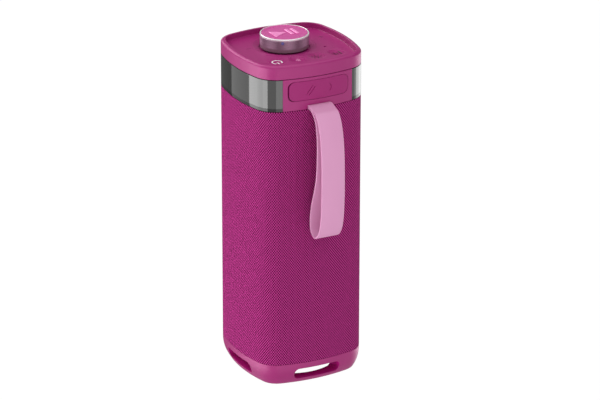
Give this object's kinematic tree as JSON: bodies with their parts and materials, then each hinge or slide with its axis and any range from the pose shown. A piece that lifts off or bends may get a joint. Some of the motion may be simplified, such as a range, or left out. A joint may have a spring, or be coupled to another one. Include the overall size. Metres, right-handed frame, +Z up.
{
  "type": "shower speaker",
  "caption": "Upright splash-proof battery loudspeaker: square tower with bulged sides, fabric sleeve, clear light band, push-and-turn knob, rubber port flap and hanging strap.",
  "frame": {"origin": "middle of the whole outline, strap included, on the surface that the feet stand on", "axes": "+Z up along the tower, +X to the right when the port flap and strap face the viewer, -Y out of the flap and strap side"},
  "size_m": [0.08, 0.0996, 0.2262],
  "materials": {
    "body_plastic": "satin magenta moulding with a fine spark texture",
    "key_plastic": "satin magenta keys with shallow dishes and debossed marks",
    "knit_fabric": "tight twill-knit acoustic fabric, magenta with darker gaps",
    "smoked_band": "smoky clear plastic, polished",
    "frosted_plastic": "frosted light guide",
    "flap_rubber": "soft matt magenta rubber with two debossed marks",
    "strap_silicone": "smooth pale pink silicone",
    "knob_metal": "smoky mauve metallised side",
    "knob_edge": "bright chamfered ring",
    "knob_face": "pink inset face with a raised paler mark",
    "steel": "plated steel",
    "black_plastic": "black moulded plastic",
    "black_rubber": "matt black rubber",
    "circuit_board": "green soldermask",
    "magnet": "dark ferrite and plated steel",
    "cone_plastic": "black moulded cone",
    "cell_wrap": "blue plastic sleeve on a steel can",
    "radiator_metal": "dark anodised plate"
  },
  "bodies": {
    "housing": {"top_cap": "body_plastic", "control_board": "circuit_board", "power_switch": "black_plastic", "pairing_switch": "black_plastic", "light_switch": "black_plastic", "mode_switch": "black_plastic", "microphone": "steel", "encoder_housing": "black_plastic", "light_band": "smoked_band", "light_diffuser": "frosted_plastic", "lamp_strip": "circuit_board", "port_housing": "body_plastic", "usb_socket": "steel", "aux_socket": "black_plastic", "port_board": "circuit_board", "top_gasket": "black_rubber", "strap_anchor": "strap_silicone", "strap_pin": "steel", "cabinet": "black_plastic", "fabric_sleeve": "knit_fabric", "driver_frame": "steel", "driver_magnet": "magnet", "driver_surround": "black_rubber", "driver_screw_1": "steel", "driver_screw_2": "steel", "driver_screw_3": "steel", "driver_screw_4": "steel", "battery_cell_1": "cell_wrap", "battery_cell_2": "cell_wrap", "battery_holder": "black_plastic", "main_board": "circuit_board", "base": "body_plastic", "base_gasket": "black_rubber", "radiator_frame": "black_plastic", "radiator_surround": "black_rubber", "foot_1": "black_rubber", "foot_2": "black_rubber", "foot_3": "black_rubber", "foot_4": "black_rubber", "base_screw_1": "steel", "base_screw_2": "steel", "base_screw_3": "steel", "base_screw_4": "steel", "cap_screw_1": "steel", "cap_screw_2": "steel", "cap_screw_3": "steel", "cap_screw_4": "steel"},
    "power_key": {"power_button": "key_plastic"},
    "pairing_key": {"pairing_button": "key_plastic"},
    "light_key": {"light_button": "key_plastic"},
    "mode_key": {"mode_button": "key_plastic"},
    "knob_press": {"encoder_plunger": "steel"},
    "knob": {"encoder_shaft": "steel", "knob_shell": "knob_metal", "knob_trim": "knob_edge", "knob_disc": "knob_face"},
    "port_flap": {"port_cover": "flap_rubber"},
    "strap_swing": {"strap": "strap_silicone"},
    "cone": {"driver_cone": "cone_plastic"},
    "bass_plate": {"radiator_plate": "radiator_metal"}
  },
  "joints": [
    {"name": "power_push", "type": "slide", "parent": "housing", "child": "power_key", "axis": [0, 0, -1], "range_m": [0, 0.0005], "stiffness_N_per_m": 2000, "springref_m": -0.0003},
    {"name": "pairing_push", "type": "slide", "parent": "housing", "child": "pairing_key", "axis": [0, 0, -1], "range_m": [0, 0.0005], "stiffness_N_per_m": 2000, "springref_m": -0.0003},
    {"name": "light_push", "type": "slide", "parent": "housing", "child": "light_key", "axis": [0, 0, -1], "range_m": [0, 0.0005], "stiffness_N_per_m": 2000, "springref_m": -0.0003},
    {"name": "mode_push", "type": "slide", "parent": "housing", "child": "mode_key", "axis": [0, 0, -1], "range_m": [0, 0.0005], "stiffness_N_per_m": 2000, "springref_m": -0.0003},
    {"name": "knob_push", "type": "slide", "parent": "housing", "child": "knob_press", "axis": [0, 0, -1], "range_m": [0, 0.0005], "stiffness_N_per_m": 3000, "springref_m": -0.0003},
    {"name": "knob_turn", "type": "hinge", "parent": "knob_press", "child": "knob", "pos_m": [0, 0.0186, 0.2171], "axis": [0, 0, 1], "continuous": true},
    {"name": "flap_open", "type": "hinge", "parent": "housing", "child": "port_flap", "pos_m": [0.0213, -0.0282, 0.2032], "axis": [0, 0, 1], "range_deg": [0, 120]},
    {"name": "strap_lift", "type": "hinge", "parent": "housing", "child": "strap_swing", "pos_m": [0, -0.0319, 0.19195], "axis": [-1, 0, 0], "range_deg": [0, 100]},
    {"name": "cone_travel", "type": "slide", "parent": "housing", "child": "cone", "axis": [0, 1, 0], "range_m": [-0.0015, 0.0015], "stiffness_N_per_m": 1500},
    {"name": "bass_travel", "type": "slide", "parent": "housing", "child": "bass_plate", "axis": [0, 0, 1], "range_m": [-0.003, 0.003], "stiffness_N_per_m": 2000}
  ]
}
